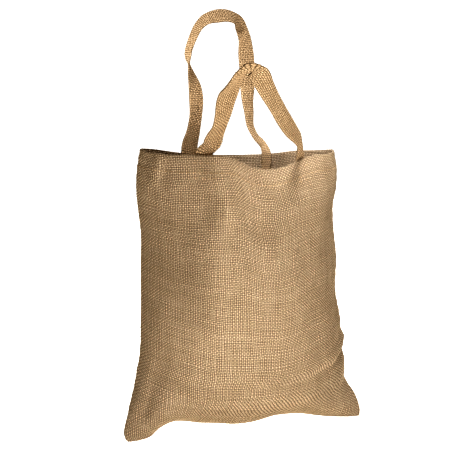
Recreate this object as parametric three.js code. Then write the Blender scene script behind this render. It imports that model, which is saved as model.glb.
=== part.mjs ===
import * as THREE from 'three';
import { mergeVertices } from 'three/addons/utils/BufferGeometryUtils.js';

// A plain jute carrying bag, standing open on a table. Sizes in millimetres.
// X runs across the bag, Y from the front panel to the back panel, Z up.

const flatWidth = 380;       // seam to seam with the bag laid flat
const flatHeight = 420;      // bottom fold to mouth with the bag laid flat
const cloth = 1.6;           // one layer of jute
const hemDeep = 28;          // the mouth is turned in by this much
const roundedCloth = 99;     // cloth that goes into the rounded underside
const roundedUp = 58;        // height of the rounded underside
const shiftFades = 109;      // cloth height over which the ears stop reaching forward
const backSag = 10;          // the back panel settles onto the table by this much
const earFlat = 0.62;        // how far the bottom corners are pressed flat
const restsBehind = 29;      // the flat underside lies this far behind the side seams; it is the origin
const strapWide = 25;
const strapThick = 3;
const strapGap = 2.0;        // air between a sewn strap end and the turned-in hem
const strapSewn = 34;        // length of strap end inside the mouth

// Level sections of the bag, by cloth height above the bottom fold: where the side seams stand,
// how far the panels swell in front of and behind them, and how round the section is
// (1 is an oval, 0 comes to an edge at the seams).
const sections = [
  { up: 0, left: -178, right: 176, front: 66, back: 66, round: 1 },
  { up: 12, left: -182, right: 178, front: 67, back: 67, round: 1 },
  { up: 25, left: -179, right: 176, front: 68, back: 68, round: 1 },
  { up: 38, left: -174, right: 172, front: 70, back: 70, round: 1 },
  { up: 52, left: -169, right: 164, front: 71, back: 71, round: 0.97 },
  { up: 67, left: -163, right: 159, front: 73, back: 72, round: 0.92 },
  { up: 82, left: -158, right: 164, front: 75, back: 73, round: 0.85 },
  { up: 99, left: -154, right: 164, front: 79, back: 76, round: 0.8 },
  { up: 112, left: -151, right: 159, front: 81, back: 78, round: 0.75 },
  { up: 124, left: -150, right: 166, front: 84, back: 79, round: 0.7 },
  { up: 138, left: -149, right: 160, front: 86, back: 81, round: 0.65 },
  { up: 155, left: -149, right: 159, front: 88, back: 83, round: 0.58 },
  { up: 200, left: -148, right: 151, front: 91, back: 86, round: 0.44 },
  { up: 250, left: -148, right: 152, front: 91, back: 86, round: 0.36 },
  { up: 295, left: -147, right: 147, front: 87, back: 86, round: 0.4 },
  { up: 335, left: -151, right: 145, front: 80, back: 81, round: 0.55 },
  { up: 360, left: -153, right: 149, front: 72, back: 73, round: 0.68 },
  { up: 390, left: -152, right: 150, front: 63, back: 63, round: 0.84 },
  { up: 420, left: -147, right: 144, front: 57, back: 58, round: 1 },
];

// The bottom fold, from the left ear to the right ear: shift along Y and height over the table.
const bottomFold = [
  { at: -190, shift: -36, high: -2 },
  { at: -163, shift: -39, high: -2 },
  { at: -137, shift: -37, high: -1 },
  { at: -114, shift: -28, high: 2 },
  { at: -95, shift: -12, high: 8 },
  { at: -68, shift: 10, high: 10 },
  { at: -38, shift: 20, high: 2 },
  { at: 0, shift: 20, high: -4 },
  { at: 38, shift: 19, high: 3 },
  { at: 65, shift: 6, high: 4 },
  { at: 86, shift: -12, high: 3 },
  { at: 110, shift: -24, high: 1 },
  { at: 137, shift: -32, high: 0 },
  { at: 163, shift: -34, high: -2 },
  { at: 190, shift: -36, high: -2 },
];

// The mouth, from the left seam to the right seam: height of the front and back edge.
const mouth = [
  { at: -190, front: 400, back: 400 },
  { at: -152, front: 396, back: 401 },
  { at: -114, front: 393, back: 400 },
  { at: -76, front: 392, back: 396 },
  { at: -42, front: 391, back: 392 },
  { at: -23, front: 388, back: 392 },
  { at: 0, front: 375, back: 392 },
  { at: 21, front: 372, back: 392 },
  { at: 46, front: 378, back: 393 },
  { at: 68, front: 387, back: 395 },
  { at: 95, front: 392, back: 398 },
  { at: 133, front: 394, back: 399 },
  { at: 190, front: 400, back: 400 },
];

// Main folds: a line over a panel from (fromAcross, fromUp) to (toAcross, toUp) that stands out
// (or lies in, where negative) by `out` and fades over `reach`.
const front = -1;
const back = 1;
const folds = [
  { side: front, fromAcross: -130, fromUp: 418, toAcross: -143, toUp: 388, out: 6, reach: 12 },
  { side: front, fromAcross: -106, fromUp: 420, toAcross: -117, toUp: 392, out: -4, reach: 9 },
  { side: front, fromAcross: -76, fromUp: 420, toAcross: -70, toUp: 350, out: -3, reach: 16 },
  { side: front, fromAcross: -48, fromUp: 420, toAcross: -42, toUp: 350, out: 11, reach: 14 },
  { side: front, fromAcross: -58, fromUp: 332, toAcross: -77, toUp: 296, out: 4, reach: 20 },
  { side: front, fromAcross: -77, fromUp: 296, toAcross: -74, toUp: 205, out: 8, reach: 27 },
  { side: front, fromAcross: -20, fromUp: 420, toAcross: 2, toUp: 335, out: -8, reach: 16 },
  { side: front, fromAcross: 70, fromUp: 365, toAcross: 112, toUp: 340, out: 9, reach: 33 },
  { side: front, fromAcross: 82, fromUp: 270, toAcross: 92, toUp: 90, out: -3, reach: 14 },
  { side: front, fromAcross: -138, fromUp: 130, toAcross: -142, toUp: 55, out: -5, reach: 13 },
  { side: front, fromAcross: 150, fromUp: 116, toAcross: 176, toUp: 112, out: -4, reach: 11 },
  { side: back, fromAcross: -64, fromUp: 420, toAcross: -40, toUp: 345, out: -5, reach: 17 },
  { side: back, fromAcross: 60, fromUp: 420, toAcross: 42, toUp: 352, out: -5, reach: 17 },
  { side: back, fromAcross: 10, fromUp: 330, toAcross: 26, toUp: 190, out: 4, reach: 26 },
  { side: back, fromAcross: -128, fromUp: 150, toAcross: -140, toUp: 60, out: -5, reach: 15 },
];

// Free run of each handle between its sewn ends: strap middle, turn of the strap about its own
// length (0 shows its full width to the front) and share of the full width left where it is gathered.
const frontRun = [
  { x: -61, y: -53, z: 408, turn: 8, wide: 1.14 },
  { x: -59, y: -62, z: 420, turn: 14, wide: 1.06 },
  { x: -57, y: -78, z: 434, turn: 18, wide: 1 },
  { x: -59, y: -98, z: 449, turn: 2, wide: 1 },
  { x: -62, y: -114, z: 461, turn: -12, wide: 1 },
  { x: -64, y: -134, z: 472, turn: -10, wide: 1 },
  { x: -66, y: -158, z: 481, turn: 12, wide: 1 },
  { x: -67, y: -180, z: 489, turn: 32, wide: 1 },
  { x: -65, y: -198, z: 494, turn: 54, wide: 1 },
  { x: -60, y: -206, z: 496, turn: 60, wide: 1 },
  { x: -53, y: -205, z: 493, turn: 50, wide: 1 },
  { x: -45, y: -199, z: 487, turn: 26, wide: 1 },
  { x: -32, y: -184, z: 475, turn: 2, wide: 1 },
  { x: -10, y: -156, z: 459, turn: -6, wide: 1 },
  { x: 13, y: -125, z: 444, turn: -4, wide: 1 },
  { x: 36, y: -96, z: 430, turn: -6, wide: 1 },
  { x: 55, y: -74, z: 420, turn: -24, wide: 1 },
  { x: 66, y: -59, z: 411, turn: -26, wide: 0.9 },
];
const backRun = [
  { x: -60, y: 55, z: 410, turn: 12, wide: 1.05 },
  { x: -55, y: 56, z: 428, turn: 22, wide: 1 },
  { x: -51, y: 57, z: 451, turn: 26, wide: 1 },
  { x: -50, y: 58, z: 474, turn: 16, wide: 1 },
  { x: -52, y: 58, z: 493, turn: 25, wide: 1 },
  { x: -57, y: 58, z: 511, turn: 49, wide: 1 },
  { x: -60, y: 58, z: 524, turn: 68, wide: 1 },
  { x: -62, y: 58, z: 536, turn: 93, wide: 1 },
  { x: -61, y: 57, z: 548, turn: 100, wide: 1 },
  { x: -55, y: 55, z: 565, turn: 105, wide: 1 },
  { x: -48, y: 52, z: 580, turn: 112, wide: 1 },
  { x: -37, y: 49, z: 591, turn: 128, wide: 1 },
  { x: -22, y: 47, z: 596, turn: 144, wide: 1 },
  { x: -8, y: 47, z: 598, turn: 144, wide: 1 },
  { x: 6, y: 50, z: 596, turn: 141, wide: 1 },
  { x: 17, y: 57, z: 589, turn: 165, wide: 0.9 },
  { x: 25, y: 65, z: 579, turn: 205, wide: 0.72 },
  { x: 30, y: 67, z: 565, turn: 212, wide: 0.8 },
  { x: 31, y: 65, z: 545, turn: 180, wide: 1 },
  { x: 31, y: 61, z: 521, turn: 177, wide: 1 },
  { x: 31, y: 59, z: 497, turn: 170, wide: 1 },
  { x: 31, y: 58, z: 476, turn: 154, wide: 1 },
  { x: 33, y: 57, z: 458, turn: 144, wide: 1 },
  { x: 35, y: 56, z: 438, turn: 134, wide: 1 },
  { x: 43, y: 54, z: 421, turn: 130, wide: 0.9 },
  { x: 53, y: 52, z: 410, turn: 142, wide: 0.7 },
];

// Sewn ends of the handles, by distance across the panel, and the share of the width at the mouth.
// Where `flip` is -1 the strap has turned over once on its way.
const handles = [
  { node: 'handle_front', side: front, flip: -1, left: -62, leftWide: 1.1, right: 66, rightWide: 0.6 },
  { node: 'handle_back', side: back, flip: 1, left: -56, leftWide: 1.15, right: 51, rightWide: 0.56 },
];

// Outline of a strap across its run, in shares of its width and thickness: soft corners.
const strapOutline = [
  { across: 0.5, out: 0.22 },
  { across: 0.44, out: 0.5 },
  { across: -0.44, out: 0.5 },
  { across: -0.5, out: 0.22 },
  { across: -0.5, out: -0.22 },
  { across: -0.44, out: -0.5 },
  { across: 0.44, out: -0.5 },
  { across: 0.5, out: -0.22 },
];

// Smooth curve through a table's rows.
function follow(rows, key, column, at) {
  let i = 0;
  while (i < rows.length - 2 && at > rows[i + 1][key]) i += 1;
  const slope = (k) => {
    const low = rows[Math.max(k - 1, 0)];
    const high = rows[Math.min(k + 1, rows.length - 1)];
    return (high[column] - low[column]) / (high[key] - low[key]);
  };
  const span = rows[i + 1][key] - rows[i][key];
  const t = Math.min(Math.max((at - rows[i][key]) / span, 0), 1);
  const s = 1 - t;
  return s * s * (1 + 2 * t) * rows[i][column] + s * s * t * span * slope(i)
    + t * t * (1 + 2 * s) * rows[i + 1][column] - t * t * s * span * slope(i + 1);
}

function ease(from, to, at) {
  const t = Math.min(Math.max((at - from) / (to - from), 0), 1);
  return t * t * (3 - 2 * t);
}

// How far a panel stands out at one spot because of its folds.
function foldedOut(side, across, up) {
  let sum = 0;
  for (const fold of folds) {
    if (fold.side !== side) continue;
    const runX = fold.toAcross - fold.fromAcross;
    const runY = fold.toUp - fold.fromUp;
    const along = (across - fold.fromAcross) * runX + (up - fold.fromUp) * runY;
    const t = Math.min(Math.max(along / (runX * runX + runY * runY), 0), 1);
    const off = Math.hypot(across - fold.fromAcross - t * runX, up - fold.fromUp - t * runY);
    sum += fold.out * Math.exp(-((off / fold.reach) ** 2));
  }
  const nearSeam = ease(0, 14, flatWidth / 2 - Math.abs(across));
  return sum * nearSeam * ease(0, 20, up);
}

// Inner face of the cloth at a spot given in the flat cloth: `across` from the middle line,
// `up` from the bottom fold.
function clothPoint(side, across, up) {
  const angle = (across / flatWidth) * Math.PI;
  const swell = Math.cos(angle);
  const left = follow(sections, 'up', 'left', up);
  const right = follow(sections, 'up', 'right', up);
  const depth = follow(sections, 'up', side === front ? 'front' : 'back', up);
  const bend = Math.min(up / roundedCloth, 1) * Math.PI / 2;
  const corner = ease(95, 185, Math.abs(across)) * (1 - ease(0, 85, up));
  const out = depth * swell * Math.sin(bend) * (1 - earFlat * corner) + foldedOut(side, across, up);
  const round = follow(sections, 'up', 'round', up);
  const x = (left + right) / 2
    + (right - left) / 2 * (round * Math.sin(angle) + (1 - round) * 2 * across / flatWidth);
  const y = side * out + follow(bottomFold, 'at', 'shift', across) * (1 - ease(0, shiftFades, up));

  const edge = follow(mouth, 'at', side === front ? 'front' : 'back', across);
  const share = (up - roundedCloth) / (flatHeight - roundedCloth);
  const middle = share < 0 ? roundedUp * (1 - Math.cos(bend)) : roundedUp + (edge - roundedUp) * share;
  let z = edge * (up / flatHeight) * (1 - swell) + middle * swell;
  z += follow(bottomFold, 'at', 'high', across) * (1 - ease(0, roundedCloth, up));
  if (side === back) {
    z -= backSag * (1 - ease(55, 120, Math.abs(across))) * ease(0, 26, up) * (1 - ease(38, 85, up));
  }
  return new THREE.Vector3(x, y, Math.max(z, cloth));
}

// Outward direction of the cloth; front and back agree on the seams and on the bottom fold.
function clothOutward(side, across, up) {
  const s = Math.min(Math.max(across, -flatWidth / 2 + 3), flatWidth / 2 - 3);
  const t = Math.min(Math.max(up, 3), flatHeight - 1);
  const lean = (which) => {
    const along = clothPoint(which, s + 1, t).sub(clothPoint(which, s - 1, t));
    const rise = clothPoint(which, s, t + 1).sub(clothPoint(which, s, t - 1));
    return along.cross(rise).multiplyScalar(-which).normalize();
  };
  const shared = Math.abs(across) > flatWidth / 2 - 0.01 || up < 0.01;
  return shared ? lean(front).add(lean(back)).normalize() : lean(side);
}

// One corner of the cloth's mesh: `layer` 0 is the inner face, 1 the outer face.
function clothCorner(side, layer, across, up) {
  const point = clothPoint(side, across, up);
  const outward = clothOutward(side, across, up);
  if (layer === 1) {
    point.addScaledVector(outward, cloth);
    point.z = Math.max(point.z, 0);
    return point;
  }
  if (up > flatHeight - hemDeep) point.addScaledVector(outward, -cloth);
  return point;
}

function closedMesh(node, corners, colour) {
  const raw = new THREE.BufferGeometry();
  raw.setAttribute('position', new THREE.Float32BufferAttribute(corners.flatMap((c) => c.toArray()), 3));
  raw.translate(0, -restsBehind, 0);
  const geometry = mergeVertices(raw, 1e-3);
  geometry.computeVertexNormals();
  const mesh = new THREE.Mesh(geometry, new THREE.MeshStandardMaterial({ color: colour, roughness: 0.95 }));
  mesh.name = node;
  return mesh;
}

function addQuad(corners, a, b, c, d) {
  corners.push(a, b, c, a, c, d);
}

// Cloth distances at which the bag is sampled: closer together round the underside and at the hem.
const acrossSteps = 36;
const acrossAt = Array.from({ length: acrossSteps + 1 }, (_, i) => flatWidth * (i / acrossSteps - 0.5));
const upAt = [0, 8, 16, 25, 34, 43, 52, 62, 72, 83, 94, 105, 118];
for (let up = 131; up < flatHeight - hemDeep - 6; up += 13) upAt.push(up);
upAt.push(flatHeight - hemDeep - 1, flatHeight - hemDeep + 1, flatHeight - 18, flatHeight - 9, flatHeight);

function buildBody() {
  const corners = [];
  const row = (side, layer, up) => acrossAt.map((across) => clothCorner(side, layer, across, up));
  const grid = (side, layer) => upAt.map((up) => row(side, layer, up));
  for (const side of [front, back]) {
    const outer = grid(side, 1);
    const inner = grid(side, 0);
    const top = upAt.length - 1;
    for (const [layer, points] of [[1, outer], [0, inner]]) {
      const seenFromFront = (side === front) === (layer === 1);
      for (let j = 0; j < top; j += 1) {
        for (let i = 0; i < acrossSteps; i += 1) {
          const a = points[j][i];
          const b = points[j][i + 1];
          const c = points[j + 1][i + 1];
          const d = points[j + 1][i];
          if (seenFromFront) addQuad(corners, a, b, c, d);
          else addQuad(corners, a, d, c, b);
        }
      }
    }
    for (let i = 0; i < acrossSteps; i += 1) {
      const a = outer[top][i];
      const b = outer[top][i + 1];
      const c = inner[top][i + 1];
      const d = inner[top][i];
      if (side === front) addQuad(corners, a, b, c, d);
      else addQuad(corners, a, d, c, b);
    }
  }
  return closedMesh('bag_body', corners, 0xc09a63);
}

// Strap stations: middle, direction across the strap and width.
function sewnStation(side, across, down, wide, flip) {
  const up = flatHeight - down;
  const outward = clothOutward(side, across, up);
  const middle = clothPoint(side, across, up);
  middle.addScaledVector(outward, -(cloth + strapGap + strapThick / 2));
  const reach = wide * strapWide / 2;
  const along = clothPoint(side, across + reach, up).sub(clothPoint(side, across - reach, up));
  return { middle, along: along.normalize().multiplyScalar(flip), wide: reach * 2 };
}

function freeStations(run) {
  const middles = run.map((row) => new THREE.Vector3(row.x, row.y, row.z));
  return run.map((row, i) => {
    const before = middles[Math.max(i - 1, 0)];
    const after = middles[Math.min(i + 1, run.length - 1)];
    const tangent = after.clone().sub(before).normalize();
    const inward = new THREE.Vector3(tangent.z, 0, -tangent.x).normalize();
    const deeper = inward.clone().cross(tangent);
    if (deeper.y < 0) deeper.negate();
    const turn = THREE.MathUtils.degToRad(row.turn);
    const along = inward.multiplyScalar(Math.cos(turn)).addScaledVector(deeper, Math.sin(turn));
    return { middle: middles[i], along, wide: row.wide * strapWide };
  });
}

function smoothCurve(points) {
  return new THREE.CatmullRomCurve3(points, false, 'catmullrom', 0.5);
}

function buildHandle(handle) {
  const { side, flip } = handle;
  const downs = [strapSewn, strapSewn / 2, -4];
  const rising = downs.map((down) => sewnStation(side, handle.left, down, handle.leftWide, 1));
  const falling = downs.map((down) => sewnStation(side, handle.right, down, handle.rightWide, flip));
  const free = freeStations(side === front ? frontRun : backRun);
  const stations = [...rising, ...free, ...falling.reverse()];
  const path = smoothCurve(stations.map((s) => s.middle));
  const edge = smoothCurve(stations.map((s) => s.along.clone().multiplyScalar(s.wide)));

  const rings = [];
  const steps = (stations.length - 1) * 2;
  for (let k = 0; k <= steps; k += 1) {
    const t = k / steps;
    const middle = path.getPoint(t);
    const tangent = path.getTangent(t);
    const span = edge.getPoint(t);
    span.addScaledVector(tangent, -span.dot(tangent));
    const wide = span.length();
    const along = span.normalize();
    const face = tangent.clone().cross(along).normalize();
    rings.push(strapOutline.map((row) => {
      const corner = middle.clone().addScaledVector(along, row.across * wide);
      return corner.addScaledVector(face, row.out * strapThick);
    }));
  }

  const corners = [];
  const around = rings[0].length;
  for (let k = 0; k < steps; k += 1) {
    for (let i = 0; i < around; i += 1) {
      const j = (i + 1) % around;
      addQuad(corners, rings[k][i], rings[k][j], rings[k + 1][j], rings[k + 1][i]);
    }
  }
  for (let i = 1; i < around - 1; i += 1) {
    corners.push(rings[0][0], rings[0][i + 1], rings[0][i]);
    corners.push(rings[steps][0], rings[steps][i], rings[steps][i + 1]);
  }
  return closedMesh(handle.node, corners, 0xc49c64);
}

const bag = new THREE.Group();
bag.add(buildBody());
for (const handle of handles) bag.add(buildHandle(handle));

export default bag;
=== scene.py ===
import math

import bpy
import numpy as np
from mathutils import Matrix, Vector


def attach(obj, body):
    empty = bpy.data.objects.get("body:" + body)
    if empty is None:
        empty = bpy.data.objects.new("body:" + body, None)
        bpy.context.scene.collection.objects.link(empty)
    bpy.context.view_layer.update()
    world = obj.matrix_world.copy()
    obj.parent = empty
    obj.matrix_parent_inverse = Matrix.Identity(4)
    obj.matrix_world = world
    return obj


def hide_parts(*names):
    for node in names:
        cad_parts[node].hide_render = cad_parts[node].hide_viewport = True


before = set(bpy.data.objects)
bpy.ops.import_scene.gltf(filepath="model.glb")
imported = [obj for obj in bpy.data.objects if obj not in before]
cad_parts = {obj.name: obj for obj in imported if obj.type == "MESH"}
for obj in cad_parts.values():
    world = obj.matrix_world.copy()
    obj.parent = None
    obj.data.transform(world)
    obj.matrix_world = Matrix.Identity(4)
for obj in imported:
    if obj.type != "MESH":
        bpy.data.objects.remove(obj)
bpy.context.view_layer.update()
rng = np.random.default_rng(seed=11)
print("frame loaded:", sorted(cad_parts))

# The bag's own sizes in millimetres, in the frame of the side seams
bag = {
    "flatWidth": 380.0,       # seam to seam, laid flat
    "flatHeight": 420.0,      # bottom fold to mouth, laid flat
    "cloth": 1.6,             # one layer of jute
    "roundedCloth": 99.0,     # cloth that goes into the rounded underside
    "roundedUp": 58.0,        # height of the rounded underside
    "shiftFades": 109.0,      # the ears stop reaching forward by here
    "earFlat": 0.62,          # the bottom corners are pressed flat by this share
    "earAcross": (95, 185),   # from here on, and fully from there
    "earUp": 85,              # up to this height
    "backSag": 10.0,          # the back panel settles onto the table
    "sagAcross": (55, 120),   # in full up to here, gone by there
    "sagStarts": 26,          # in full from this height
    "sagEnds": (38, 85),      # in full up to here, gone by there
    "seamHolds": 14,          # no folds on a seam, all of them this far in
    "bottomHolds": 20,        # the same at the bottom fold
    "edgeFree": 3,            # directions are read no nearer to an edge
    "restsBehind": 29.0,      # moves the bag onto the CAD origin
}
toMetres = 0.001

# up, left seam, right seam, swell of the front, swell of the back, roundness of the section
sections = [
    (0, -178, 176, 66, 66, 1.0),
    (12, -182, 178, 67, 67, 1.0),
    (25, -179, 176, 68, 68, 1.0),
    (38, -174, 172, 70, 70, 1.0),
    (52, -169, 164, 71, 71, 0.97),
    (67, -163, 159, 73, 72, 0.92),
    (82, -158, 164, 75, 73, 0.85),
    (99, -154, 164, 79, 76, 0.80),
    (112, -151, 159, 81, 78, 0.75),
    (124, -150, 166, 84, 79, 0.70),
    (138, -149, 160, 86, 81, 0.65),
    (155, -149, 159, 88, 83, 0.58),
    (200, -148, 151, 91, 86, 0.44),
    (250, -148, 152, 91, 86, 0.36),
    (295, -147, 147, 87, 86, 0.40),
    (335, -151, 145, 80, 81, 0.55),
    (360, -153, 149, 72, 73, 0.68),
    (390, -152, 150, 63, 63, 0.84),
    (420, -147, 144, 57, 58, 1.0),
]
leftSeam, rightSeam, frontSwell, backSwell, roundness = 1, 2, 3, 4, 5

# across, shift along Y, height of the bottom fold
bottomFold = [
    (-190, -36, -2),
    (-163, -39, -2),
    (-137, -37, -1),
    (-114, -28, 2),
    (-95, -12, 8),
    (-68, 10, 10),
    (-38, 20, 2),
    (0, 20, -4),
    (38, 19, 3),
    (65, 6, 4),
    (86, -12, 3),
    (110, -24, 1),
    (137, -32, 0),
    (163, -34, -2),
    (190, -36, -2),
]
foldShift, foldHigh = 1, 2

# across, height of the front edge, height of the back edge
mouth = [
    (-190, 400, 400),
    (-152, 396, 401),
    (-114, 393, 400),
    (-76, 392, 396),
    (-42, 391, 392),
    (-23, 388, 392),
    (0, 375, 392),
    (21, 372, 392),
    (46, 378, 393),
    (68, 387, 395),
    (95, 392, 398),
    (133, 394, 399),
    (190, 400, 400),
]
frontEdge, backEdge = 1, 2

# Folds of a panel: from across, from up, to across, to up, how far out, reach
mainFolds = {
    "front": [
        (-130, 418, -143, 388, 6, 12),
        (-106, 420, -117, 392, -4, 9),
        (-76, 420, -70, 350, -3, 16),
        (-48, 420, -42, 350, 11, 14),
        (-58, 332, -77, 296, 4, 20),
        (-77, 296, -74, 205, 8, 27),
        (-20, 420, 2, 335, -8, 16),
        (70, 365, 112, 340, 9, 33),
        (82, 270, 92, 90, -3, 14),
        (-138, 130, -142, 55, -5, 13),
        (150, 116, 176, 112, -4, 11),
    ],
    "back": [
        (-64, 420, -40, 345, -5, 17),
        (60, 420, 42, 352, -5, 17),
        (10, 330, 26, 190, 4, 26),
        (-128, 150, -140, 60, -5, 15),
    ],
}


def follow(rows, column, at):          # smooth curve through a table, keyed by its first column
    keys = np.array([row[0] for row in rows], float)
    values = np.array([row[column] for row in rows], float)
    index = np.arange(len(keys))
    low, high = np.maximum(index - 1, 0), np.minimum(index + 1, len(keys) - 1)
    slopes = (values[high] - values[low]) / (keys[high] - keys[low])
    i = np.clip(np.searchsorted(keys, at) - 1, 0, len(keys) - 2)
    span = keys[i + 1] - keys[i]
    t = np.clip((at - keys[i]) / span, 0, 1)
    s = 1 - t
    return (s * s * (1 + 2 * t) * values[i] + s * s * t * span * slopes[i]
            + t * t * (1 + 2 * s) * values[i + 1] - t * t * s * span * slopes[i + 1])


def ease(start, end, at):
    t = np.clip((at - start) / (end - start), 0, 1)
    return t * t * (3 - 2 * t)


def foldedOut(side, across, up):
    total = np.zeros_like(across)
    for fromAcross, fromUp, toAcross, toUp, out, reach in mainFolds[side]:
        runX, runY = toAcross - fromAcross, toUp - fromUp
        along = ((across - fromAcross) * runX + (up - fromUp) * runY) / (runX ** 2 + runY ** 2)
        t = np.clip(along, 0, 1)
        off = np.hypot(across - fromAcross - t * runX, up - fromUp - t * runY)
        total += out * np.exp(-(off / reach) ** 2)
    fromSeam = bag["flatWidth"] / 2 - np.abs(across)
    return total * ease(0, bag["seamHolds"], fromSeam) * ease(0, bag["bottomHolds"], up)


def clothPoint(side, across, up):      # inner face of the cloth, in millimetres
    isFront = side == "front"
    angle = across / bag["flatWidth"] * math.pi
    swell = np.cos(angle)
    left, right = follow(sections, leftSeam, up), follow(sections, rightSeam, up)
    depth = follow(sections, frontSwell if isFront else backSwell, up)
    bend = np.minimum(up / bag["roundedCloth"], 1) * math.pi / 2
    corner = ease(*bag["earAcross"], np.abs(across)) * (1 - ease(0, bag["earUp"], up))
    out = depth * swell * np.sin(bend) * (1 - bag["earFlat"] * corner) + foldedOut(side, across, up)
    rounded = follow(sections, roundness, up)
    spread = rounded * np.sin(angle) + (1 - rounded) * 2 * across / bag["flatWidth"]
    x = (left + right) / 2 + (right - left) / 2 * spread
    shift = follow(bottomFold, foldShift, across) * (1 - ease(0, bag["shiftFades"], up))
    y = (-out if isFront else out) + shift
    edge = follow(mouth, frontEdge if isFront else backEdge, across)
    share = (up - bag["roundedCloth"]) / (bag["flatHeight"] - bag["roundedCloth"])
    middle = np.where(share < 0, bag["roundedUp"] * (1 - np.cos(bend)),
                      bag["roundedUp"] + (edge - bag["roundedUp"]) * share)
    z = edge * (up / bag["flatHeight"]) * (1 - swell) + middle * swell
    z = z + follow(bottomFold, foldHigh, across) * (1 - ease(0, bag["roundedCloth"], up))
    if not isFront:
        sag = bag["backSag"] * (1 - ease(*bag["sagAcross"], np.abs(across)))
        z = z - sag * ease(0, bag["sagStarts"], up) * (1 - ease(*bag["sagEnds"], up))
    return np.stack([x, y, np.maximum(z, bag["cloth"])], -1)


def unit(vectors):
    return vectors / np.maximum(np.linalg.norm(vectors, axis=-1, keepdims=True), 1e-9)


def clothOutward(side, across, up):    # front and back agree on the seams and on the bottom fold
    half, free, step = bag["flatWidth"] / 2, bag["edgeFree"], 1
    s = np.clip(across, free - half, half - free)
    t = np.clip(up, free, bag["flatHeight"] - step)

    def lean(which):
        along = clothPoint(which, s + step, t) - clothPoint(which, s - step, t)
        rise = clothPoint(which, s, t + step) - clothPoint(which, s, t - step)
        return unit(np.cross(along, rise)) * (1 if which == "front" else -1)

    touching = 0.01
    shared = (np.abs(across) > half - touching) | (up < touching)
    own, other = lean(side), lean("back" if side == "front" else "front")
    return np.where(shared[..., None], unit(own + other), own)


# How the jute is woven, in yarns; relief in millimetres
weave = {
    "warps": 146,             # yarns across a panel
    "wefts": 182,             # yarns up a panel
    "rimWefts": 3,            # yarns over the rim
    "hemWefts": 11,           # yarns in the turned-in hem
    "crown": 0.5,             # a yarn stands up this much where it passes over
    "ridge": (0.25, 0.75),    # its ridge lies between these shares of the crossing
    "pit": 0.4,               # depth of the gap between four crossings
    "seamPit": 0.2,           # shallower where front and back meet
    "lowest": 0.15,           # the yarns stay this far above the table
    "slub": 0.3,              # how uneven the yarns are
    "slubLength": 9,          # crossings between thick and thin
    "stray": 0.16,            # a yarn's edge strays by this share of a yarn
    "strayHeld": (0.07, 0.05),    # not at a panel's sides and ends, in shares of it
    "drift": 1.1,             # the cloth is this far out of square, in millimetres
    "driftWaves": (70, 200, 10),  # shortest, longest, how many
    "cockle": 0.5,            # and never quite flat
    "cockleWaves": (26, 75, 16),
    "edgeHolds": 30,          # drift and cockle are in full this far from an edge
}


def alongYarns(count, length):         # slow seeded variation along each yarn
    knots = np.arange(-1, length / weave["slubLength"] + 2)
    marks = np.clip(rng.normal(0, 1, (count, len(knots))), -2, 2)
    phase = rng.random(count)
    at = np.arange(length) / weave["slubLength"]
    return np.array([np.interp(at + phase[k], knots, marks[k]) for k in range(count)])


def softWaves(across, up, shortest, longest, count):   # gentle seeded unevenness, about -1 to 1
    total = np.zeros_like(across)
    for k in range(count):
        length = shortest * (longest / shortest) ** rng.random()
        heading, phase = rng.random(2) * 2 * math.pi
        along = across * math.cos(heading) + up * math.sin(heading)
        total += np.sin(along * 2 * math.pi / length + phase)
    return total / math.sqrt(count)


# Each crossing is a small roof along the yarn on top: four shared corners and two ridge points
roof = np.array([[0, 1, 4], [1, 2, 5], [1, 5, 4], [2, 3, 5], [3, 0, 4], [3, 4, 5]])


def wovenSheet(surface, normal, level, share, wraps):
    wefts, warps = surface.shape[0] - 1, surface.shape[1] - 1
    wide = warps if wraps else warps + 1
    j, i = np.mgrid[0:wefts, 0:warps]
    warpOver = (i + j) % 2 == 0
    thick = np.where(warpOver, alongYarns(warps, wefts).T, alongYarns(wefts, warps))
    high = weave["crown"] * share * (1 + weave["slub"] * thick)

    def corners(values):               # the first two are at one end of the ridge
        four = np.stack([values(i, j), values(i + 1, j), values(i + 1, j + 1), values(i, j + 1)], 2)
        pick = warpOver.reshape(wefts, warps, *[1] * (four.ndim - 2))
        return np.where(pick, four, np.roll(four, 1, 2))

    points = [(surface + normal * level[..., None])[:, :wide].reshape(-1, 3)]
    ids = [corners(lambda a, b: b * wide + a % wide)]
    spots = [corners(lambda a, b: np.stack([a, b], -1))]
    for end in weave["ridge"]:
        a, b = np.where(warpOver, 0.5, end), np.where(warpOver, end, 0.5)
        weights = ((1 - a) * (1 - b), a * (1 - b), a * b, (1 - a) * b)

        def blend(grid):
            four = (grid[:-1, :-1], grid[:-1, 1:], grid[1:, 1:], grid[1:, :-1])
            return sum(w[..., None] * g for w, g in zip(weights, four))

        ridge = blend(surface) + unit(blend(normal)) * high[..., None]
        first = sum(len(p) for p in points)
        ids.append((first + np.arange(wefts * warps)).reshape(wefts, warps, 1))
        spots.append(np.stack([i + a, j + b], -1)[:, :, None])
        points.append(ridge.reshape(-1, 3))
    faces = np.concatenate(ids, 2)[:, :, roof].reshape(-1, 3)
    places = np.concatenate(spots, 2)[:, :, roof].reshape(-1, 3, 2)
    return np.concatenate(points), faces, places


bakeMargin = 0.004                     # left free round the map for baking


def meshPiece(name, points, faces, places, span, material):
    mesh = bpy.data.meshes.new(name)
    mesh.from_pydata(points.tolist(), [], faces.tolist())
    mesh.uv_layers.new(name="yarns").data.foreach_set("uv", places.astype(np.float32).ravel())
    spread = bakeMargin + (1 - 2 * bakeMargin) * places / np.array(span, float)
    mesh.uv_layers.new(name="OFBake").data.foreach_set("uv", spread.astype(np.float32).ravel())
    mesh.materials.append(material)
    mesh.polygons.foreach_set("use_smooth", np.ones(len(mesh.polygons), bool))
    mesh.validate()
    piece = bpy.data.objects.new(name, mesh)
    bpy.context.scene.collection.objects.link(piece)
    return piece


def inMetres(points):
    return (points - np.array([0, bag["restsBehind"], 0])) * toMetres


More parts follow.
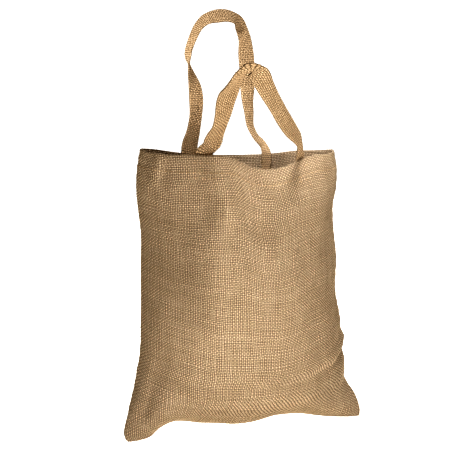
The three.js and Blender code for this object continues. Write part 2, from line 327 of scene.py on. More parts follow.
# Node helpers for the materials and the stitches
def newSocket(tree, name, way, kind, value=None):
    socket = tree.interface.new_socket(name=name, in_out=way, socket_type=kind)
    if value is not None:
        socket.default_value = value
    return socket


def feed(tree, socket, value):         # links a socket or sets a plain value
    if isinstance(value, bpy.types.NodeSocket):
        tree.links.new(value, socket)
    else:
        socket.default_value = value


def addNode(tree, kind, wires, **settings):            # one node with its inputs linked or set
    node = tree.nodes.new(kind)
    for name, value in settings.items():
        setattr(node, name, value)
    for key, value in wires.items():
        feed(tree, node.inputs[key], value)
    return node


def addMath(tree, what, a, b=None, c=None, clamp=False):
    wires = {k: value for k, value in enumerate((a, b, c)) if value is not None}
    return addNode(tree, "ShaderNodeMath", wires, operation=what, use_clamp=clamp).outputs[0]


def addMix(tree, factor, a, b, blend="MIX"):
    wires = {0: factor, 6: a, 7: b}    # a mix keeps its colours in 6 and 7
    look = {"data_type": "RGBA", "blend_type": blend, "clamp_factor": True}
    return addNode(tree, "ShaderNodeMix", wires, **look).outputs[2]


def addNoise(tree, vector, scale, detail):
    wires = {"Vector": vector, "Scale": scale, "Detail": detail}
    return addNode(tree, "ShaderNodeTexNoise", wires, noise_dimensions="2D").outputs[0]


def addVector(tree, **parts):
    wires = {"XYZ".index(part): value for part, value in parts.items()}
    return addNode(tree, "ShaderNodeCombineXYZ", wires).outputs[0]


def addRandom(tree, value, seed):      # one steady number for each yarn
    wires = {"Vector": addVector(tree, X=value, Y=seed)}
    return addNode(tree, "ShaderNodeTexWhiteNoise", wires, noise_dimensions="2D").outputs["Value"]


# The cloth's finish; the straps change a few of these
jute = {
    "lightYarn": (0.836, 0.678, 0.507, 1),
    "darkYarn": (0.535, 0.412, 0.281, 1),
    # painted shade: the dark colour painted into the pits between the yarns
    "gap": (0.138, 0.095, 0.058, 1),
    "crossingShading": -0.15,    # painted shade and light: below 0 the weft crossings are painted paler than the warp crossings
    "yarnWidth": 0.8,
    "unevenness": 0.5,
    "crease": 0.85,           # how far a yarn dives at the side of its neighbour
    "pitLevel": 0.37,         # below this height the cloth is in shadow
    "pitSharpness": 2.5,
    "bumpDepth": 0.0008,
    "bumpStrength": 0.75,
    "gloss": 0.25,
    "sheen": 0.08,
    "sheenRoughness": 0.45,
    "sheenTint": (1.0, 0.93, 0.82, 1),
}

# Fibres and colour along the yarns, the same in every jute finish
fibreLook = {
    "yarnsApart": 7.31,       # keeps the noise of neighbouring yarns apart
    "slow": 0.13,             # thick and thin places along a yarn
    "thin": 0.75,             # a yarn's least share of its width
    "buried": 0.02,           # below this a yarn isn't seen
    "fine": 11.0,             # fibres across a yarn
    "long": 1.7,              # and along it
    "fibreDetail": 2.0,
    "patch": 0.06,            # slow drift of the natural colour
    "patchDetail": 3.0,
    "toneShare": 0.45,        # how much yarn, drift and fibre change the colour
    "patchShare": 0.5,
    "fibreShare": 0.5,
    "patchLess": -0.1,        # and what keeps each of them in the middle
    "fibreLess": 0.12,
    "fibreRelief": 0.14,
    "roughness": 0.8,
    "fibreRoughness": 0.12,
    "warpSeed": 3.0,
    "weftSeed": 8.0,
}

# socket of the weave group, its value in the finish
weaveInputs = [
    ("Light Yarn", "lightYarn"),
    ("Dark Yarn", "darkYarn"),
    ("Pit Shade", "gap"),
    ("Crossing Shading", "crossingShading"),
    ("Yarn Width", "yarnWidth"),
    ("Unevenness", "unevenness"),
    ("Crease", "crease"),
    ("Pit Sharpness", "pitSharpness"),
    ("Pit Level", "pitLevel"),
]


def makeWeaveGroup():
    tree = bpy.data.node_groups.new("juteWeave", "ShaderNodeTree")
    newSocket(tree, "Yarns", "INPUT", "NodeSocketVector")
    for name, key in weaveInputs:
        kind = "NodeSocketColor" if isinstance(jute[key], tuple) else "NodeSocketFloat"
        newSocket(tree, name, "INPUT", kind, jute[key])
    newSocket(tree, "Colour", "OUTPUT", "NodeSocketColor")
    newSocket(tree, "Height", "OUTPUT", "NodeSocketFloat")
    newSocket(tree, "Roughness", "OUTPUT", "NodeSocketFloat")
    inputs = tree.nodes.new("NodeGroupInput").outputs
    outputs = tree.nodes.new("NodeGroupOutput").inputs

    def sums(what, a, b=None, c=None, clamp=False):
        return addMath(tree, what, a, b, c, clamp)

    split = addNode(tree, "ShaderNodeSeparateXYZ", {0: inputs["Yarns"]})
    u, v = split.outputs[0], split.outputs[1]
    warp, weft = sums("FLOOR", u), sums("FLOOR", v)
    inU = sums("SUBTRACT", sums("FRACT", u), 0.5)
    inV = sums("SUBTRACT", sums("FRACT", v), 0.5)
    odd = sums("FLOORED_MODULO", sums("ADD", warp, weft), 2.0)
    warpSign = sums("MULTIPLY_ADD", odd, -2.0, 1.0)     # 1 where the warp is on top, else -1
    weftSign = sums("MULTIPLY", warpSign, -1.0)

    def yarn(number, along, seed):     # slow thick and thin places along one yarn
        apart = sums("MULTIPLY", number, fibreLook["yarnsApart"])
        place = addVector(tree, X=apart, Y=sums("MULTIPLY", along, fibreLook["slow"]))
        return addNoise(tree, place, scale=1.0, detail=1.0), addRandom(tree, number, seed)

    slowWarp, toneWarp = yarn(warp, v, fibreLook["warpSeed"])
    slowWeft, toneWeft = yarn(weft, u, fibreLook["weftSeed"])

    def body(inside, slow):            # round section of a yarn, 0 outside it
        thick = sums("MULTIPLY_ADD", slow, inputs["Unevenness"], fibreLook["thin"])
        half = sums("MULTIPLY", sums("MULTIPLY", thick, inputs["Yarn Width"]), 0.5)
        share = sums("DIVIDE", inside, half)
        return sums("SQRT", sums("SUBTRACT", 1.0, sums("MULTIPLY", share, share), clamp=True))

    def rising(inside, sign):          # a yarn goes over one neighbour and under the next
        return sums("MULTIPLY", sums("COSINE", sums("MULTIPLY", inside, math.pi)), sign)

    def level(section, lift):          # from about -1 in a gap to 1 on a crown
        flat = sums("MULTIPLY", section, sums("SUBTRACT", 1.0, inputs["Crease"]))
        raised = sums("MULTIPLY_ADD", lift, inputs["Crease"], flat)
        return sums("SUBTRACT", raised, sums("LESS_THAN", section, fibreLook["buried"]))

    highWarp = level(body(inU, slowWarp), rising(inV, warpSign))
    highWeft = level(body(inV, slowWeft), rising(inU, weftSign))
    high = sums("MAXIMUM", highWarp, highWeft)
    isWarp = sums("GREATER_THAN", highWarp, highWeft)

    def fibres(scaleU, scaleV):
        place = addVector(tree, X=sums("MULTIPLY", u, scaleU), Y=sums("MULTIPLY", v, scaleV))
        return addNoise(tree, place, scale=1.0, detail=fibreLook["fibreDetail"])

    def onTop(ofWeft, ofWarp):         # the value of whichever yarn is on top
        return addNode(tree, "ShaderNodeMix", {0: isWarp, 2: ofWeft, 3: ofWarp}).outputs[0]

    fine, long = fibreLook["fine"], fibreLook["long"]
    tone = onTop(toneWeft, toneWarp)
    fibre = onTop(fibres(long, fine), fibres(fine, long))
    patch = addNoise(tree, inputs["Yarns"], fibreLook["patch"], fibreLook["patchDetail"])
    drift = sums("MULTIPLY_ADD", patch, fibreLook["patchShare"], fibreLook["patchLess"])
    blend = sums("MULTIPLY_ADD", tone, fibreLook["toneShare"], drift)
    blend = sums("SUBTRACT", blend, fibreLook["fibreLess"])
    blend = sums("MULTIPLY_ADD", fibre, fibreLook["fibreShare"], blend, clamp=True)
    colour = addMix(tree, blend, inputs["Dark Yarn"], inputs["Light Yarn"])
    # Painted shade: below the pit level the yarn colour turns to the dark pit colour
    above = sums("SUBTRACT", high, inputs["Pit Level"])
    lit = sums("MULTIPLY", above, inputs["Pit Sharpness"], clamp=True)
    colour = addMix(tree, lit, inputs["Pit Shade"], colour)
    # Painted shade and light: crossings of one direction are painted lighter, the others darker
    signed = sums("MULTIPLY_ADD", isWarp, 2.0, -1.0)
    over = sums("MULTIPLY_ADD", signed, inputs["Crossing Shading"], 1.0)
    paintedShadeFactor = addNode(tree, "ShaderNodeCombineColor", {0: over, 1: over, 2: over}).outputs[0]
    colour = addMix(tree, 1.0, colour, paintedShadeFactor, "MULTIPLY")
    relief = sums("MULTIPLY_ADD", fibre, fibreLook["fibreRelief"], high)
    least, more = fibreLook["roughness"], fibreLook["fibreRoughness"]
    rough = sums("MULTIPLY_ADD", fibre, more, least, clamp=True)
    tree.links.new(colour, outputs["Colour"])
    tree.links.new(relief, outputs["Height"])
    tree.links.new(rough, outputs["Roughness"])
    return tree


weaveGroup = makeWeaveGroup()


def juteMaterial(name, changes):
    spec = {**jute, **changes}
    material = bpy.data.materials.new(name)
    material.use_nodes = True
    tree = material.node_tree
    shader = tree.nodes["Principled BSDF"]
    place = addNode(tree, "ShaderNodeUVMap", {}, uv_map="yarns")
    woven = addNode(tree, "ShaderNodeGroup", {}, node_tree=weaveGroup)
    tree.links.new(place.outputs[0], woven.inputs["Yarns"])
    for socket, key in weaveInputs:
        woven.inputs[socket].default_value = spec[key]
    bump = addNode(tree, "ShaderNodeBump", {
        "Strength": spec["bumpStrength"],
        "Distance": spec["bumpDepth"],
        "Height": woven.outputs["Height"],
    })
    tree.links.new(woven.outputs["Colour"], shader.inputs["Base Color"])
    tree.links.new(woven.outputs["Roughness"], shader.inputs["Roughness"])
    tree.links.new(bump.outputs[0], shader.inputs["Normal"])
    shader.inputs["Specular IOR Level"].default_value = spec["gloss"]
    shader.inputs["Sheen Weight"].default_value = spec["sheen"]
    shader.inputs["Sheen Roughness"].default_value = spec["sheenRoughness"]
    shader.inputs["Sheen Tint"].default_value = spec["sheenTint"]
    return material


clothFinish = juteMaterial("juteCloth", {})
strapFinish = juteMaterial("juteStrap", {
    "lightYarn": (0.83, 0.625, 0.425, 1),
    "darkYarn": (0.54, 0.385, 0.24, 1),
    # painted shade in the pits between the yarns, paler on the straps
    "gap": (0.2, 0.14, 0.08, 1),
    # painted shade and light of the crossings on the straps
    "crossingShading": -0.14,
})
print("materials ready")

# One panel of the bag: outer face, rounded rim and turned-in hem in one sheet
rim = {
    "radius": 1.5,            # the hem turns over on this radius, in millimetres
    "pucker": 0.7,            # the sewing draws the cloth in and out along the seams
    "puckerEvery": 15.0,
    "puckerUneven": (1.3, 31),    # its waves run early and late, over this length
    "puckerFades": 16.0,
    "seamHolds": 4,           # none on the seam, all of it this far in
    "bottomHolds": 25,        # the same at the bottom fold
}
evenSteps = 401                        # used to space the warps


def evenAcross(side, up, share):       # spaces the warps evenly round the panel at each height
    half = bag["flatWidth"] / 2
    fine = np.linspace(-half, half, evenSteps)
    rows, fineGrid = up[:, None] + 0 * fine, fine + 0 * up[:, None]
    steps = np.linalg.norm(np.diff(clothPoint(side, fineGrid, rows), axis=1), axis=2)
    travel = np.concatenate([np.zeros((len(up), 1)), np.cumsum(steps, 1)], 1)
    return np.array([np.interp(row * way[-1], way, fine) for row, way in zip(share, travel)])


def buildPanel(name, side):
    warps, wefts = weave["warps"], weave["wefts"]
    half, tall = bag["flatWidth"] / 2, bag["flatHeight"]
    level, share = np.mgrid[0:wefts + 1, 0:warps + 1] / np.array([wefts, warps])[:, None, None]
    sides, ends = weave["strayHeld"]
    held = ease(0, sides, share) * ease(0, sides, 1 - share)
    held = held * ease(0, ends, level) * ease(0, ends, 1 - level)
    share = share + held * weave["stray"] / warps * alongYarns(warps + 1, wefts + 1).T
    across = evenAcross(side, level[:, 0] * tall, share)
    up = tall * (level + held * weave["stray"] / wefts * alongYarns(wefts + 1, warps + 1))
    reach = weave["edgeHolds"]
    inside = ease(0, reach, half - np.abs(across)) * ease(0, reach, up) * ease(0, reach, tall - up)
    across = across + weave["drift"] * softWaves(across, up, *weave["driftWaves"]) * inside
    up = up + weave["drift"] * softWaves(across, up, *weave["driftWaves"]) * inside
    outward = clothOutward(side, across, up)
    cockle = weave["cockle"] * softWaves(across, up, *weave["cockleWaves"]) * inside
    fromSeam = half - np.abs(across)
    uneven, over = rim["puckerUneven"]
    late = uneven * np.sin(up / over)
    wave = np.sin(up * 2 * math.pi / rim["puckerEvery"] + late + np.sign(across))
    pucker = rim["pucker"] * np.exp(-fromSeam / rim["puckerFades"]) * wave
    pucker = pucker * ease(0, rim["seamHolds"], fromSeam) * ease(0, rim["bottomHolds"], up)
    outer = clothPoint(side, across, up) + outward * (bag["cloth"] + cockle + pucker)[..., None]

    # over the rim and down inside
    rise = unit(outer[-1] - outer[-2])
    rows, normals = [outer], [outward]
    for k in range(1, weave["rimWefts"]):
        turn = math.pi * k / weave["rimWefts"]
        bent = outward[-1] * math.cos(turn) + rise * math.sin(turn)
        rows.append((outer[-1] + (bent - outward[-1]) * rim["radius"])[None])
        normals.append(bent[None])
    inner = outer - outward * 2 * rim["radius"]
    rows.append(inner[::-1][:weave["hemWefts"] + 1])
    normals.append(-outward[::-1][:weave["hemWefts"] + 1])
    surface, normal = np.concatenate(rows), np.concatenate(normals)

    depth = np.full(surface.shape[:2], -weave["pit"])
    depth[:, 0] = depth[:, -1] = depth[0] = -weave["seamPit"]
    points, faces, places = wovenSheet(surface, normal, depth, 1.0, False)
    points[:, 2] = np.maximum(points[:, 2], weave["lowest"])
    if side == "back":
        faces, places = faces[:, ::-1], places[:, ::-1]
    span = (warps, len(surface) - 1)
    piece = meshPiece(name, inMetres(points), faces, places, span, clothFinish)
    print(name, "triangles:", len(piece.data.polygons))
    return piece


clothFront = buildPanel("cloth_front", "front")
clothBack = buildPanel("cloth_back", "back")

# Straps, in millimetres
strap = {
    "wide": 25.0,
    "thick": 3.0,
    "gap": 2.0,               # between a sewn end and the hem
    "sewn": 34.0,             # length inside the mouth
    "aboveRim": 4.0,          # a sewn end stays straight up to here
    "curveSteps": 40,         # between two stations
    "yarnsWide": 9,           # crossings over one face
    "yarnLength": 2.7,        # along the strap
    "reliefShare": 0.9,
    "faceShare": 0.955,       # of the width, the rest is the rounded edge
    "edgeThin": 0.42,         # the face falls away by this share at its edges
    "edgeSharp": 6,
    "edgeLean": 0.3,          # how far the yarns at an edge face sideways
    "roll": 0.35,             # the edges roll a little to and fro
    "rollEvery": 0.097,
    "rollSharp": 3,
}

# x, y, z of the middle, turn about its own length, share of the width left
frontRun = [
    (-61, -53, 408, 8, 1.14),
    (-59, -62, 420, 14, 1.06),
    (-57, -78, 434, 18, 1),
    (-59, -98, 449, 2, 1),
    (-62, -114, 461, -12, 1),
    (-64, -134, 472, -10, 1),
    (-66, -158, 481, 12, 1),
    (-67, -180, 489, 32, 1),
    (-65, -198, 494, 54, 1),
    (-60, -206, 496, 60, 1),
    (-53, -205, 493, 50, 1),
    (-45, -199, 487, 26, 1),
    (-32, -184, 475, 2, 1),
    (-10, -156, 459, -6, 1),
    (13, -125, 444, -4, 1),
    (36, -96, 430, -6, 1),
    (55, -74, 420, -24, 1),
    (66, -59, 411, -26, 0.9),
]
backRun = [
    (-60, 55, 410, 12, 1.05),
    (-55, 56, 428, 22, 1),
    (-51, 57, 451, 26, 1),
    (-50, 58, 474, 16, 1),
    (-52, 58, 493, 25, 1),
    (-57, 58, 511, 49, 1),
    (-60, 58, 524, 68, 1),
    (-62, 58, 536, 93, 1),
    (-61, 57, 548, 100, 1),
    (-55, 55, 565, 105, 1),
    (-48, 52, 580, 112, 1),
    (-37, 49, 591, 128, 1),
    (-22, 47, 596, 144, 1),
    (-8, 47, 598, 144, 1),
    (6, 50, 596, 141, 1),
    (17, 57, 589, 165, 0.9),
    (25, 65, 579, 205, 0.72),
    (30, 67, 565, 212, 0.8),
    (31, 65, 545, 180, 1),
    (31, 61, 521, 177, 1),
    (31, 59, 497, 170, 1),
    (31, 58, 476, 154, 1),
    (33, 57, 458, 144, 1),
    (35, 56, 438, 134, 1),
    (43, 54, 421, 130, 0.9),
    (53, 52, 410, 142, 0.7),
]
turnColumn, wideColumn = 3, 4
strapRuns = {"front": frontRun, "back": backRun}

# Sewn ends: distance across the panel and share of the width there; flip -1 has turned over once
strapEnds = {
    "front": {"left": -62, "leftWide": 1.1, "right": 66, "rightWide": 0.6, "flip": -1},
    "back": {"left": -56, "leftWide": 1.15, "right": 51, "rightWide": 0.56, "flip": 1},
}


def sewnStation(side, across, down, wide, flip):
    across, up = np.array([float(across)]), np.array([bag["flatHeight"] - down])
    outward = clothOutward(side, across, up)
    depth = bag["cloth"] + strap["gap"] + strap["thick"] / 2
    middle = clothPoint(side, across, up) - outward * depth
    reach = wide * strap["wide"] / 2
    chord = clothPoint(side, across + reach, up) - clothPoint(side, across - reach, up)
    return middle[0], (unit(chord) * flip)[0] * reach * 2


def freeStations(run):
    middles = np.array([row[:3] for row in run], float)
    after = np.concatenate([middles[1:], middles[-1:]])
    before = np.concatenate([middles[:1], middles[:-1]])
    tangent = unit(after - before)
    inward = unit(np.stack([tangent[:, 2], 0 * tangent[:, 0], -tangent[:, 0]], -1))
    deeper = np.cross(inward, tangent)
    deeper = deeper * np.where(deeper[:, 1:2] < 0, -1, 1)
    turn = np.radians([row[turnColumn] for row in run])[:, None]
    wide = np.array([row[wideColumn] for row in run]) * strap["wide"]
    return middles, (inward * np.cos(turn) + deeper * np.sin(turn)) * wide[:, None]


def smoothRun(points, steps):          # curve through the stations, with equal steps in each span
    before, after = 2 * points[0] - points[1], 2 * points[-1] - points[-2]
    held = np.concatenate([[before], points, [after]])
    t = np.arange(steps) / steps
    spans = []
    for k in range(len(points) - 1):
        p0, p1, p2, p3 = held[k:k + 4]
        v1, v2 = (p2 - p0) / 2, (p3 - p1) / 2
        a, b = 2 * p1 - 2 * p2 + v1 + v2, -3 * p1 + 3 * p2 - 2 * v1 - v2
        spans.append(((a * t[:, None] + b) * t[:, None] + v1) * t[:, None] + p1)
    return np.concatenate(spans + [points[-1:]])


def strapPath(side):
    ends = strapEnds[side]
    downs = (strap["sewn"], strap["sewn"] / 2, -strap["aboveRim"])
    left, right = (ends["left"], ends["leftWide"]), (ends["right"], ends["rightWide"])
    rising = [sewnStation(side, left[0], down, left[1], 1) for down in downs]
    falling = [sewnStation(side, right[0], down, right[1], ends["flip"]) for down in downs[::-1]]
    middles, edges = freeStations(strapRuns[side])
    middles = np.concatenate([[r[0] for r in rising], middles, [f[0] for f in falling]])
    edges = np.concatenate([[r[1] for r in rising], edges, [f[1] for f in falling]])
    path, edge = (smoothRun(run, strap["curveSteps"]) for run in (middles, edges))
    steps = np.linalg.norm(np.diff(path, axis=0), axis=1)
    travel = np.concatenate([[0], np.cumsum(steps)])
    count = int(round(travel[-1] / strap["yarnLength"]))
    at = np.linspace(0, travel[-1], count + 1)
    path = np.stack([np.interp(at, travel, path[:, k]) for k in range(3)], -1)
    edge = np.stack([np.interp(at, travel, edge[:, k]) for k in range(3)], -1)
    tangent = unit(np.gradient(path, axis=0))
    edge = edge - tangent * np.sum(edge * tangent, -1, keepdims=True)
    wide = np.linalg.norm(edge, axis=-1)
    along = unit(edge)
    return path, along, unit(np.cross(tangent, along)), wide, travel[-1]


def strapSection():                    # shares of width and thickness, yarn by yarn round the strap
    face = np.linspace(-1, 1, strap["yarnsWide"] + 1)
    full = 1 - strap["edgeThin"] * np.abs(face) ** strap["edgeSharp"]
    front = [(0.5 * w * strap["faceShare"], 0.5 * h) for w, h in zip(face, full)]
    back = [(-w, -h) for w, h in front]
    return np.array(front + [(0.5, 0.0)] + back + [(-0.5, 0.0)] + front[:1])


def buildStrap(name, side):
    path, along, out, wide, length = strapPath(side)
    section = strapSection()
    around, rows = len(section) - 1, len(path) - 1
    w, t = section[:, 0], section[:, 1]
    roll = strap["roll"] * np.sin(np.arange(rows + 1) * strap["rollEvery"])[:, None]
    sideways = w * wide[:, None]
    facing = t * strap["thick"] + roll * np.abs(w * 2) ** strap["rollSharp"]
    lean = along[:, None] * (w * strap["edgeLean"])[None, :, None]
    normal = unit(lean + out[:, None] * t[None, :, None])
    surface = path[:, None] + along[:, None] * sideways[..., None]
    surface = surface + out[:, None] * facing[..., None]
    share = strap["reliefShare"]
    depth = np.full(surface.shape[:2], -weave["pit"] * share)
    points, faces, places = wovenSheet(surface, normal, depth, share, True)
    ring = np.arange(1, around - 1)
    first = np.stack([0 * ring, ring + 1, ring], -1)             # the cut ends are closed
    last = np.stack([0 * ring, ring, ring + 1], -1) + rows * around
    caps = np.concatenate([first, last])
    faces = np.concatenate([faces, caps])
    places = np.concatenate([places, np.stack([caps % around, caps // around], -1)])
    a, b, c = (points[faces[:, k]] for k in range(3))
    if np.sum(np.cross(a, b) * c) < 0:
        faces, places = faces[:, ::-1], places[:, ::-1]
    piece = meshPiece(name, inMetres(points), faces, places, (around, rows), strapFinish)
    print(name, "length mm:", round(length), "triangles:", len(piece.data.polygons))
    return piece, length


strapFront, frontLength = buildStrap("strap_front", "front")
strapBack, backLength = buildStrap("strap_back", "back")

# Sewing: a row under the mouth on each panel and two short rows through every strap end
stitch = {
    "below": 22.0,            # hem row under the rim, in millimetres
    "fromSeam": 8,            # the hem row stops short of the seams
    "hemSteps": 121,          # points along the hem row
    "endRows": (9.0, 29.0),   # under the rim, through the strap ends
    "endShare": 0.76,         # of the strap's width
    "endSteps": 9,
    "proud": 0.3,             # of the strap, so that its yarns don't hide the thread
    "pitch": 8.0,
    "length": 5.6,
    "arch": 0.8,
    "thread": 0.4,            # radius of the thread
    "bends": 5,               # steps along one stitch
    "sides": 6,
    "turn": 6.0,              # a stitch is askew by up to this many degrees
    "seed": 5,
    "light": (0.62, 0.46, 0.29, 1),
    "dark": (0.42, 0.29, 0.17, 1),
    "patch": 900.0,           # scale of the light and dark places
    "roughness": 0.85,
    "gloss": 0.25,
}

# socket of the stitch tree, its size in millimetres
stitchInputs = [("Pitch", "pitch"), ("Length", "length"), ("Arch", "arch"), ("Thread", "thread")]


def threadMaterial():
    material = bpy.data.materials.new("juteThread")
    material.use_nodes = True
    tree = material.node_tree
    shader = tree.nodes["Principled BSDF"]
    place = tree.nodes.new("ShaderNodeTexCoord").outputs["Object"]
    wires = {"Vector": place, "Scale": stitch["patch"]}
    patch = addNode(tree, "ShaderNodeTexNoise", wires).outputs[0]
    colour = addMix(tree, patch, stitch["dark"], stitch["light"])
    tree.links.new(colour, shader.inputs["Base Color"])
    shader.inputs["Roughness"].default_value = stitch["roughness"]
    shader.inputs["Specular IOR Level"].default_value = stitch["gloss"]
    return material


def addBetween(tree, low, high, seed):                 # a steady random number for each point
    floatMin, floatMax = 2, 3
    wires = {floatMin: low, floatMax: high, "Seed": seed}
    return addNode(tree, "FunctionNodeRandomValue", wires, data_type="FLOAT").outputs[1]


def addStitch(tree, length, arch, radius):   # one arched thread, half as high as its middle point
    half = addMath(tree, "MULTIPLY", length, 0.5)
    curve = addNode(tree, "GeometryNodeCurveQuadraticBezier", {
        "Resolution": stitch["bends"],
        "Start": addVector(tree, X=addMath(tree, "MULTIPLY", half, -1.0)),
        "Middle": addVector(tree, Z=addMath(tree, "MULTIPLY", arch, 2.0)),
        "End": addVector(tree, X=half),
    }).outputs[0]
    wires = {"Resolution": stitch["sides"], "Radius": radius}
    ring = addNode(tree, "GeometryNodeCurvePrimitiveCircle", wires).outputs[0]
    wires = {"Curve": curve, "Profile Curve": ring, "Fill Caps": True}
    return addNode(tree, "GeometryNodeCurveToMesh", wires).outputs[0]


def addFacing(tree, turn, seed):       # along the row, arched off the cloth, a little askew
    heading = tree.nodes.new("GeometryNodeInputTangent").outputs[0]
    outward = addNode(tree, "GeometryNodeInputNamedAttribute", {"Name": "outward"},
                      data_type="FLOAT_VECTOR").outputs[0]
    align = "FunctionNodeAlignRotationToVector"
    facing = addNode(tree, align, {"Vector": heading}, axis="X").outputs[0]
    wires = {"Rotation": facing, "Vector": outward}
    facing = addNode(tree, align, wires, axis="Z", pivot_axis="X").outputs[0]
    askew = addBetween(tree, addMath(tree, "MULTIPLY", turn, -1.0), turn, seed)
    euler = addNode(tree, "FunctionNodeEulerToRotation", {0: addVector(tree, Z=askew)}).outputs[0]
    wires = {"Rotation": facing, "Rotate By": euler}
    return addNode(tree, "FunctionNodeRotateRotation", wires, rotation_space="LOCAL").outputs[0]


def makeStitchTree():
    tree = bpy.data.node_groups.new("threadRows", "GeometryNodeTree")
    newSocket(tree, "Rows", "INPUT", "NodeSocketGeometry")
    for name, key in stitchInputs:
        newSocket(tree, name, "INPUT", "NodeSocketFloat", stitch[key] * toMetres)
    newSocket(tree, "Turn", "INPUT", "NodeSocketFloat", math.radians(stitch["turn"]))
    newSocket(tree, "Seed", "INPUT", "NodeSocketInt", stitch["seed"])
    newSocket(tree, "Finish", "INPUT", "NodeSocketMaterial")
    newSocket(tree, "Stitches", "OUTPUT", "NodeSocketGeometry")
    inputs = tree.nodes.new("NodeGroupInput").outputs
    outputs = tree.nodes.new("NodeGroupOutput").inputs
    rows = addNode(tree, "GeometryNodeMeshToCurve", {0: inputs["Rows"]}).outputs[0]
    wires = {"Curve": rows, "Length": inputs["Pitch"]}
    rows = addNode(tree, "GeometryNodeResampleCurve", wires, mode="LENGTH").outputs[0]
    placed = addNode(tree, "GeometryNodeInstanceOnPoints", {
        "Points": rows,
        "Instance": addStitch(tree, inputs["Length"], inputs["Arch"], inputs["Thread"]),
        "Rotation": addFacing(tree, inputs["Turn"], inputs["Seed"]),
    }).outputs[0]
    real = addNode(tree, "GeometryNodeRealizeInstances", {"Geometry": placed}).outputs[0]
    wires = {"Geometry": real, "Material": inputs["Finish"]}
    done = addNode(tree, "GeometryNodeSetMaterial", wires).outputs[0]
    tree.links.new(done, outputs["Stitches"])
    return tree


def runNodes(piece, tree, values):     # applies a node tree to a piece and keeps what it made
    modifier = piece.modifiers.new(tree.name, "NODES")
    modifier.node_group = tree
    for item in tree.interface.items_tree:
        if item.in_out == "INPUT" and item.name in values:
            modifier[item.identifier] = values[item.name]
    made = piece.evaluated_get(bpy.context.evaluated_depsgraph_get())
    mesh = bpy.data.meshes.new_from_object(made)
    piece.modifiers.remove(modifier)
    piece.data = mesh
    print(piece.name, "faces:", len(mesh.polygons))


def clothRow(panel, side, across, below):              # a line on the outside of a panel
    up = np.full_like(across, bag["flatHeight"] - below)
    outward = clothOutward(side, across, up)
    lying = inMetres(clothPoint(side, across, up) + outward * bag["cloth"])
    hits = [panel.closest_point_on_mesh(Vector(p))[1] for p in lying]
    return np.array(hits), outward


def strapRow(side, across, below, wide):               # a line on the strap end, inside the mouth
    middle, edge = sewnStation(side, across, below, wide, 1)
    up = bag["flatHeight"] - below
    outward = clothOutward(side, np.array([float(across)]), np.array([up]))[0]
    share = np.linspace(-0.5, 0.5, stitch["endSteps"])[:, None] * stitch["endShare"]
    line = middle + edge * share - outward * (strap["thick"] / 2 + stitch["proud"])
    return inMetres(line), np.repeat(-outward[None], len(line), 0)


def buildStitches():
    bpy.context.view_layer.update()
    reach = bag["flatWidth"] / 2 - stitch["fromSeam"]
    hem = np.linspace(-reach, reach, stitch["hemSteps"])
    rows = []
    for panel, side in ((clothFront, "front"), (clothBack, "back")):
        rows.append(clothRow(panel, side, hem, stitch["below"]))
        for end in ("left", "right"):
            across, wide = strapEnds[side][end], strapEnds[side][end + "Wide"]
            half = stitch["endShare"] / 2 * wide * strap["wide"]
            sewn = across + np.linspace(-half, half, stitch["endSteps"])
            for below in stitch["endRows"]:
                rows.append(clothRow(panel, side, sewn, below))
                rows.append(strapRow(side, across, below, wide))
    points = np.concatenate([line for line, outward in rows])
    starts = np.cumsum([0] + [len(line) for line, outward in rows])
    edges = [(k, k + 1) for a, b in zip(starts, starts[1:]) for k in range(a, b - 1)]
    mesh = bpy.data.meshes.new("stitches")
    mesh.from_pydata(points.tolist(), edges, [])
    facing = np.concatenate([outward for line, outward in rows]).astype(np.float32)
    stored = mesh.attributes.new("outward", "FLOAT_VECTOR", "POINT")
    stored.data.foreach_set("vector", facing.ravel())
    piece = bpy.data.objects.new("stitches", mesh)
    bpy.context.scene.collection.objects.link(piece)
    sizes = {name: stitch[key] * toMetres for name, key in stitchInputs}
    runNodes(piece, makeStitchTree(), {
        **sizes,
        "Turn": math.radians(stitch["turn"]),
        "Seed": stitch["seed"],
        "Finish": threadMaterial(),
    })
    return piece


stitches = buildStitches()
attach(stitches, "root")

for piece, node in ((clothFront, "bag_body"), (clothBack, "bag_body"),
                    (strapFront, "handle_front"), (strapBack, "handle_back")):
    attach(piece, "root")
    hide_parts(node)

# Pale floor, soft studio light and the photograph's view
studio = {
    "floorSize": 12.0,
    "floorColour": (0.8, 0.8, 0.8, 1),
    "floorRoughness": 0.9,
    "floorLift": 0.85,        # what the camera sees of the bright sweep
    "floorGlow": 0.35,        # what the sweep throws back onto the bag
    "glowColour": (1.0, 0.94, 0.77, 1),
    "white": (1, 1, 1, 1),
    "backdrop": 0.88,         # what the camera sees beyond the floor
    "ambient": 0.09,
    "ambientColour": (1.0, 0.64, 0.12, 1),
    "aim": (0.0, 0.0, 0.15),  # of the soft lights
}

# name, place, size, power
softLights = [
    ("keyLight", (-0.03, -0.58, 0.21), 0.22, 1.53),
    ("topLight", (0.5, 0.9, 1.9), 1.2, 6.0),
    ("backLight", (0.5, 1.5, 0.7), 0.8, 16.0),
]

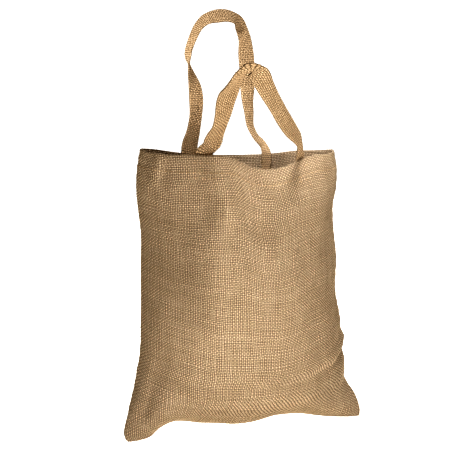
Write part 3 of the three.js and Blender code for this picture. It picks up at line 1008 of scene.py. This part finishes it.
# name, place, aim, cone in degrees (soft to its middle), size, power
narrowLights = [
    ("strapLight", (1.4, -1.45, 1.35), (0.0, 0.02, 0.575), 12.0, 0.5, 86.0),
    ("strapFill", (-1.5, -1.4, 1.1), (-0.065, 0.04, 0.525), 7.4, 0.1, 180.0),
    ("mouthFill", (-0.5, -0.9, 1.35), (0.14, -0.01, 0.37), 10.5, 0.1, 81.0),
    ("wallFill", (0.0, -0.9, 1.4), (0.02, 0.03, 0.38), 6.0, 0.1, 25.0),
    ("rimFill", (0.02, -0.045, 1.6), (0.02, -0.055, 0.1), 11.0, 0.2, 30.0),
    ("foldFill", (-0.3, -1.1, 0.45), (-0.02, -0.117, 0.35), 3.0, 0.1, 52.0),
    ("lowFill", (-1.2, -1.2, 0.5), (-0.1, -0.06, 0.09), 10.0, 0.1, 11.0),
    ("edgeFill", (-1.5, -0.45, 0.45), (-0.17, -0.03, 0.38), 10.0, 0.1, 13.0),
    ("earFill", (1.0, -1.3, 0.4), (0.18, -0.07, 0.03), 6.0, 0.1, 9.0),
]


def placeLight(data, place, aim, power):
    data.energy = power
    lamp = bpy.data.objects.new(data.name, data)
    lamp.location = place
    lamp.rotation_euler = (Vector(aim) - Vector(place)).to_track_quat("-Z", "Y").to_euler()
    bpy.context.scene.collection.objects.link(lamp)


def softLight(name, place, size, power):
    data = bpy.data.lights.new(name, "AREA")
    data.shape = "DISK"
    data.size = size
    placeLight(data, place, studio["aim"], power)


def narrowLight(name, place, aim, cone, size, power):
    data = bpy.data.lights.new(name, "SPOT")
    data.spot_size = math.radians(cone)
    data.spot_blend = 1.0
    data.shadow_soft_size = size / 2
    placeLight(data, place, aim, power)


def makeFloor():
    s = studio["floorSize"] / 2
    mesh = bpy.data.meshes.new("floor")
    mesh.from_pydata([(-s, -s, 0), (s, -s, 0), (s, s, 0), (-s, s, 0)], [], [(0, 1, 2, 3)])
    paint = bpy.data.materials.new("paleFloor")
    paint.use_nodes = True
    tree = paint.node_tree
    shader = tree.nodes["Principled BSDF"]
    shader.inputs["Base Color"].default_value = studio["floorColour"]
    shader.inputs["Roughness"].default_value = studio["floorRoughness"]
    seen = tree.nodes.new("ShaderNodeLightPath").outputs["Is Camera Ray"]
    lift = addMath(tree, "MULTIPLY_ADD", seen, studio["floorLift"], studio["floorGlow"])
    tint = addMix(tree, seen, studio["glowColour"], studio["white"])
    tree.links.new(tint, shader.inputs["Emission Color"])
    tree.links.new(lift, shader.inputs["Emission Strength"])
    mesh.materials.append(paint)
    floor = bpy.data.objects.new("floor", mesh)
    bpy.context.scene.collection.objects.link(floor)


def makeWorld():
    world = bpy.data.worlds.new("paleRoom")
    world.use_nodes = True
    tree = world.node_tree
    back = tree.nodes["Background"]
    back.inputs["Color"].default_value = studio["ambientColour"]
    back.inputs["Strength"].default_value = studio["ambient"]
    wires = {"Color": studio["white"], "Strength": studio["backdrop"]}
    pale = addNode(tree, "ShaderNodeBackground", wires).outputs[0]
    seen = tree.nodes.new("ShaderNodeLightPath").outputs["Is Camera Ray"]
    mix = addNode(tree, "ShaderNodeMixShader", {0: seen, 1: back.outputs[0], 2: pale})
    tree.links.new(mix.outputs[0], tree.nodes["World Output"].inputs[0])
    bpy.context.scene.world = world


makeFloor()
makeWorld()
for row in softLights:
    softLight(*row)
for row in narrowLights:
    narrowLight(*row)
bpy.context.scene.view_settings.view_transform = "Standard"
bpy.context.scene.view_settings.look = "Very High Contrast"

view = {
    "place": (-0.4184, -1.2071, 0.400),
    "forward": (0.3161, 0.9448, -0.0863),
    "lens": 69.0,
    "sensor": 36.0,
}
cameraData = bpy.data.cameras.new("photoView")
cameraData.lens = view["lens"]
cameraData.sensor_width = view["sensor"]
camera = bpy.data.objects.new("photoView", cameraData)
camera.location = view["place"]
camera.rotation_euler = Vector(view["forward"]).to_track_quat("-Z", "Y").to_euler()
bpy.context.scene.collection.objects.link(camera)
bpy.context.scene.camera = camera
print("studio ready")
